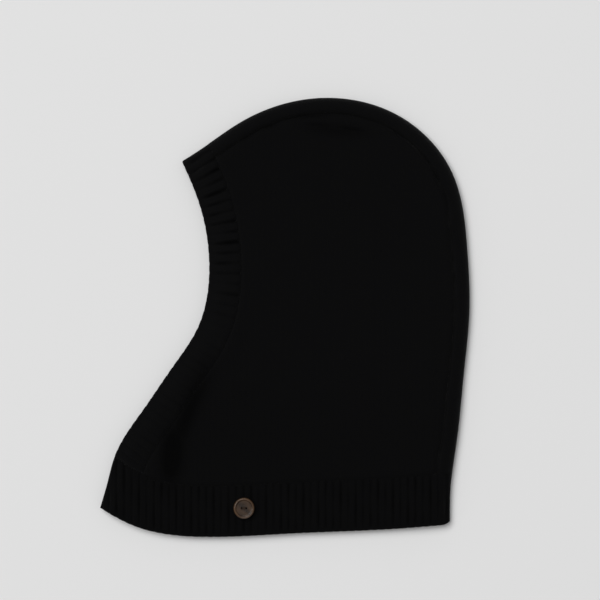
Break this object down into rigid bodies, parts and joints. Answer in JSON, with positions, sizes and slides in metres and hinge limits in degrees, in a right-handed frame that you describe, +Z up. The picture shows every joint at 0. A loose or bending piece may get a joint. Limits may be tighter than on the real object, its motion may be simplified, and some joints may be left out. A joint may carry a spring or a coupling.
{
  "type": "balaclava",
  "caption": "Knitted hood that covers the head, throat and neck, with a ribbed face opening, a ribbed hem and a throat flap that buttons, lying flat on its side.",
  "frame": {"origin": "centre of the bounding box in plan, on the surface that the hood lies on", "axes": "+Z up from the surface, towards the wearer's left side, which is the upper layer; +Y from the neck hem to the crown; +X from the face opening to the back of the head"},
  "size_m": [0.3171, 0.3768, 0.0175],
  "materials": {
    "plain_knit": "soft matt plain knit in black wool-like yarn",
    "rib_knit": "soft matt rib knit in the same black yarn",
    "linking_yarn": "matt black yarn, worked flat",
    "button_thread": "matt dark brown sewing thread",
    "label_tape": "smooth woven satin tape, blank",
    "label_thread": "matt black sewing thread",
    "horn": "satin dark brown, mottled like horn"
  },
  "bodies": {
    "hood": {"right_side_panel": "plain_knit", "left_side_panel": "plain_knit", "crown_strip": "plain_knit", "right_crown_seam": "linking_yarn", "left_crown_seam": "linking_yarn", "face_band": "rib_knit", "face_seam": "linking_yarn", "hem_band": "rib_knit", "hem_seam": "linking_yarn", "buttonhole_stitching": "linking_yarn", "button_anchor_stitches": "button_thread", "care_label": "label_tape", "care_label_stitches": "label_thread"},
    "left_flap": {"left_flap_panel": "plain_knit", "left_flap_face_band": "rib_knit", "left_flap_face_seam": "linking_yarn", "left_flap_hem_band": "rib_knit", "left_flap_hem_seam": "linking_yarn"},
    "shank": {"thread_shank": "button_thread"},
    "button": {"button_thread": "button_thread", "button": "horn"}
  },
  "joints": [
    {"name": "left_flap_fold", "type": "hinge", "parent": "hood", "child": "left_flap", "pos_m": [-0.084, -0.1, 0.013], "axis": [0, 1, 0], "range_deg": [0, 165]},
    {"name": "button_tilt", "type": "hinge", "parent": "hood", "child": "shank", "pos_m": [-0.035, -0.1632, 0.0139], "axis": [0, 1, 0], "range_deg": [-10, 10], "stiffness_Nm_per_rad": 0.0006},
    {"name": "button_twist", "type": "hinge", "parent": "shank", "child": "button", "pos_m": [-0.035, -0.1632, 0.0139], "axis": [0, 0, 1], "range_deg": [-40, 40], "stiffness_Nm_per_rad": 0.0002}
  ]
}
